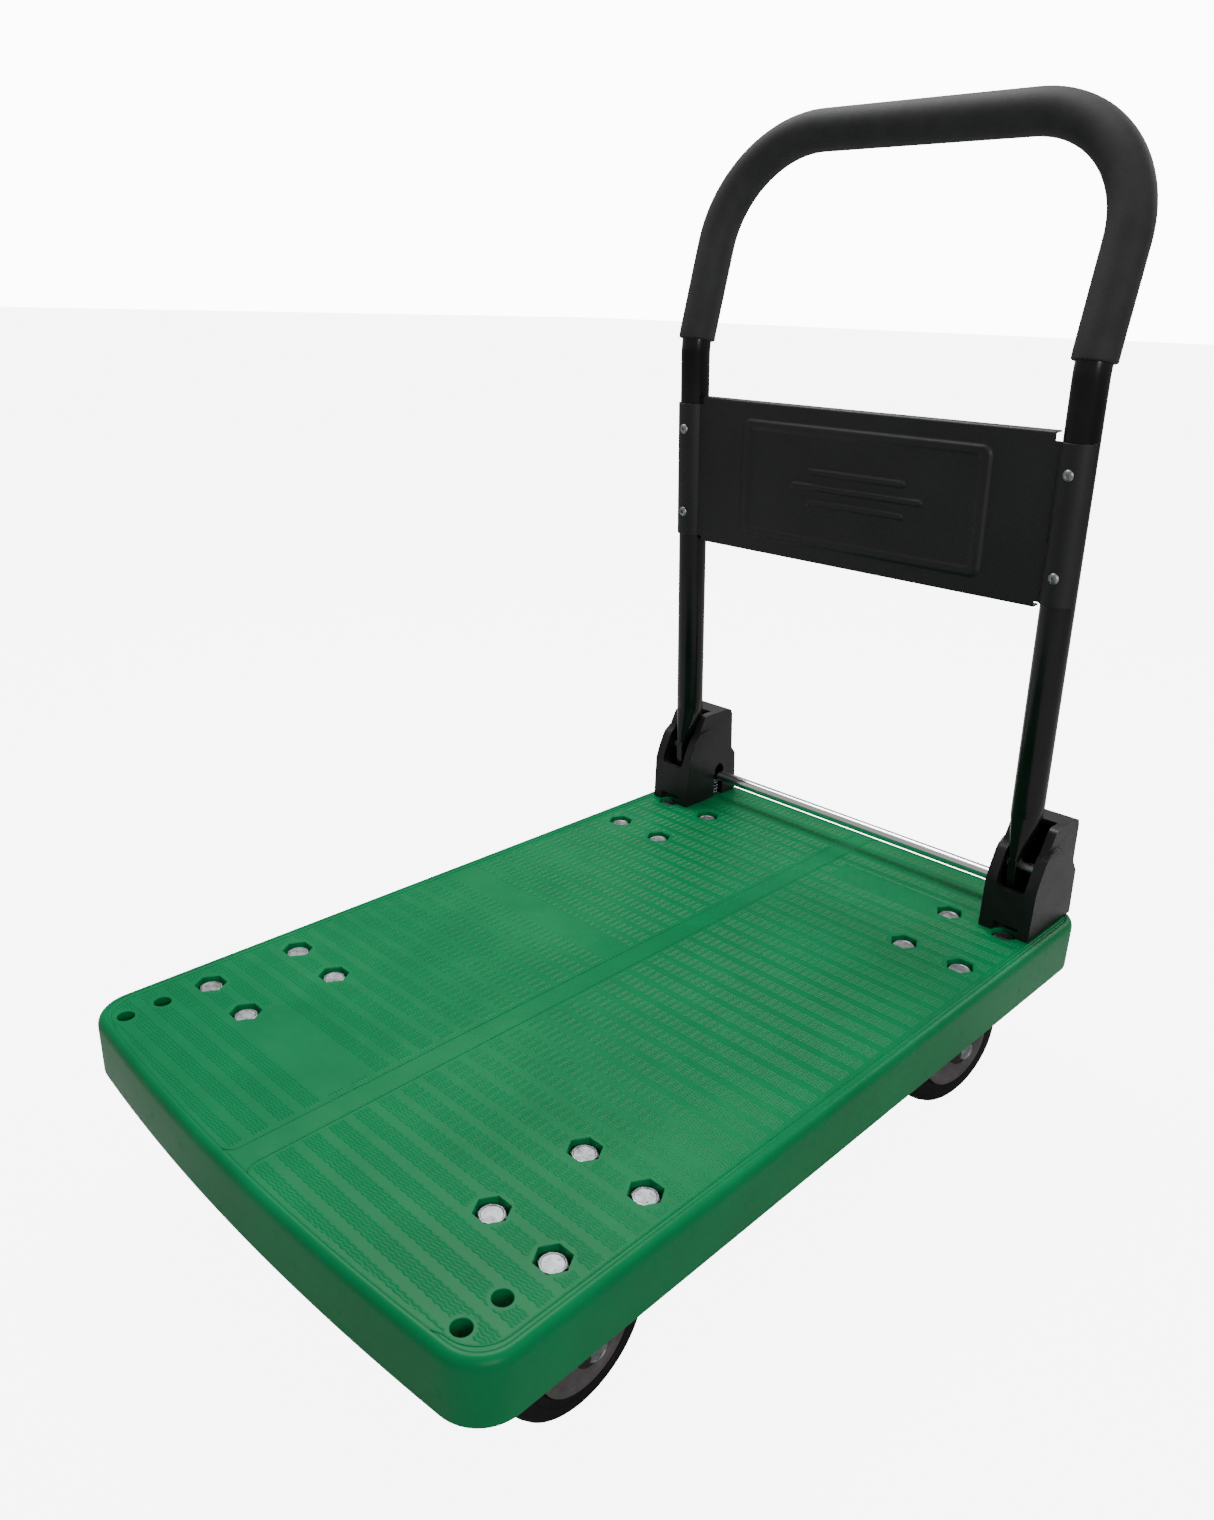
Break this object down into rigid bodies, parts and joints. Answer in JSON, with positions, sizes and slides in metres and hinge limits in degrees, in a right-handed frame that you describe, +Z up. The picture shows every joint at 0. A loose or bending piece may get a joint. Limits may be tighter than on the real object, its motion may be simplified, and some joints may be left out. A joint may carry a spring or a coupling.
{
  "type": "folding platform cart",
  "caption": "Flat-deck hand cart with a moulded plastic platform, rigid and swivel casters, and a fold-down tubular handle released by a foot bar.",
  "frame": {"origin": "on the floor, under the middle of the deck", "axes": "+Z up, +Y from the free end towards the handle, +X across the width"},
  "size_m": [0.475, 0.75, 0.8549],
  "materials": {
    "deck_plastic": "semi-gloss moulded plastic with ribbed tread texture",
    "block_plastic": "satin moulded plastic",
    "handle_paint": "gloss black paint",
    "panel_paint": "fine textured black powder coat",
    "grip_foam": "matte foam",
    "zinc": "bright zinc plate",
    "spring_steel": "spring wire",
    "bar_chrome": "polished",
    "fork_steel": "semi-gloss black paint",
    "wheel_plastic": "dark grey moulded plastic",
    "tyre": "matte rubber"
  },
  "bodies": {
    "cart": {"deck": "deck_plastic", "hinge_block_left": "block_plastic", "pivot_pin_left": "zinc", "bar_spring_left": "spring_steel", "caster_bracket_left": "fork_steel", "swivel_plate_left": "fork_steel", "kingpin_left": "zinc", "block_screw_left_front": "zinc", "deck_bolt_front_left_1": "zinc", "deck_bolt_front_left_2": "zinc", "deck_bolt_front_left_3": "zinc", "deck_bolt_front_left_4": "zinc", "block_screw_left_rear": "zinc", "deck_bolt_rear_left_1": "zinc", "deck_bolt_rear_left_2": "zinc", "deck_bolt_rear_left_3": "zinc", "deck_bolt_rear_left_4": "zinc", "axle_bolt_front_left": "zinc", "hinge_block_right": "block_plastic", "pivot_pin_right": "zinc", "bar_spring_right": "spring_steel", "caster_bracket_right": "fork_steel", "swivel_plate_right": "fork_steel", "kingpin_right": "zinc", "block_screw_right_front": "zinc", "deck_bolt_front_right_1": "zinc", "deck_bolt_front_right_2": "zinc", "deck_bolt_front_right_3": "zinc", "deck_bolt_front_right_4": "zinc", "block_screw_right_rear": "zinc", "deck_bolt_rear_right_1": "zinc", "deck_bolt_rear_right_2": "zinc", "deck_bolt_rear_right_3": "zinc", "deck_bolt_rear_right_4": "zinc", "axle_bolt_front_right": "zinc"},
    "handle": {"handle_tube": "handle_paint", "handle_grip": "grip_foam", "handle_panel": "panel_paint", "handle_blade_left": "handle_paint", "panel_rivet_left_low": "zinc", "panel_rivet_left_high": "zinc", "handle_blade_right": "handle_paint", "panel_rivet_right_low": "zinc", "panel_rivet_right_high": "zinc"},
    "release_bar": {"release_bar": "bar_chrome"},
    "rear_swivel_left": {"swivel_fork_left": "fork_steel", "axle_bolt_rear_left": "zinc"},
    "front_wheel_left": {"wheel_core_front_left": "wheel_plastic", "tyre_front_left": "tyre"},
    "rear_wheel_left": {"wheel_core_rear_left": "wheel_plastic", "tyre_rear_left": "tyre"},
    "rear_swivel_right": {"swivel_fork_right": "fork_steel", "axle_bolt_rear_right": "zinc"},
    "front_wheel_right": {"wheel_core_front_right": "wheel_plastic", "tyre_front_right": "tyre"},
    "rear_wheel_right": {"wheel_core_rear_right": "wheel_plastic", "tyre_rear_right": "tyre"}
  },
  "joints": [
    {"name": "handle_fold", "type": "hinge", "parent": "cart", "child": "handle", "pos_m": [0, 0.304, 0.228], "axis": [1, 0, 0], "range_deg": [0, 86.5]},
    {"name": "bar_press", "type": "slide", "parent": "cart", "child": "release_bar", "axis": [0, 0, -1], "range_m": [0, 0.013], "stiffness_N_per_m": 2500, "springref_m": -0.004, "deforming": ["bar_spring_left", "bar_spring_right"]},
    {"name": "front_wheel_left_spin", "type": "hinge", "parent": "cart", "child": "front_wheel_left", "pos_m": [-0.175, -0.234, 0.0625], "axis": [1, 0, 0], "continuous": true},
    {"name": "rear_caster_left_swivel", "type": "hinge", "parent": "cart", "child": "rear_swivel_left", "pos_m": [-0.175, 0.2305, 0.14], "axis": [0, 0, 1], "continuous": true},
    {"name": "rear_wheel_left_spin", "type": "hinge", "parent": "rear_swivel_left", "child": "rear_wheel_left", "pos_m": [-0.17743, 0.24429, 0.0625], "axis": [0.9848, 0.1736, 0], "continuous": true},
    {"name": "front_wheel_right_spin", "type": "hinge", "parent": "cart", "child": "front_wheel_right", "pos_m": [0.175, -0.234, 0.0625], "axis": [1, 0, 0], "continuous": true},
    {"name": "rear_caster_right_swivel", "type": "hinge", "parent": "cart", "child": "rear_swivel_right", "pos_m": [0.175, 0.2305, 0.14], "axis": [0, 0, 1], "continuous": true},
    {"name": "rear_wheel_right_spin", "type": "hinge", "parent": "rear_swivel_right", "child": "rear_wheel_right", "pos_m": [0.17743, 0.24429, 0.0625], "axis": [0.9848, -0.1736, 0], "continuous": true}
  ]
}
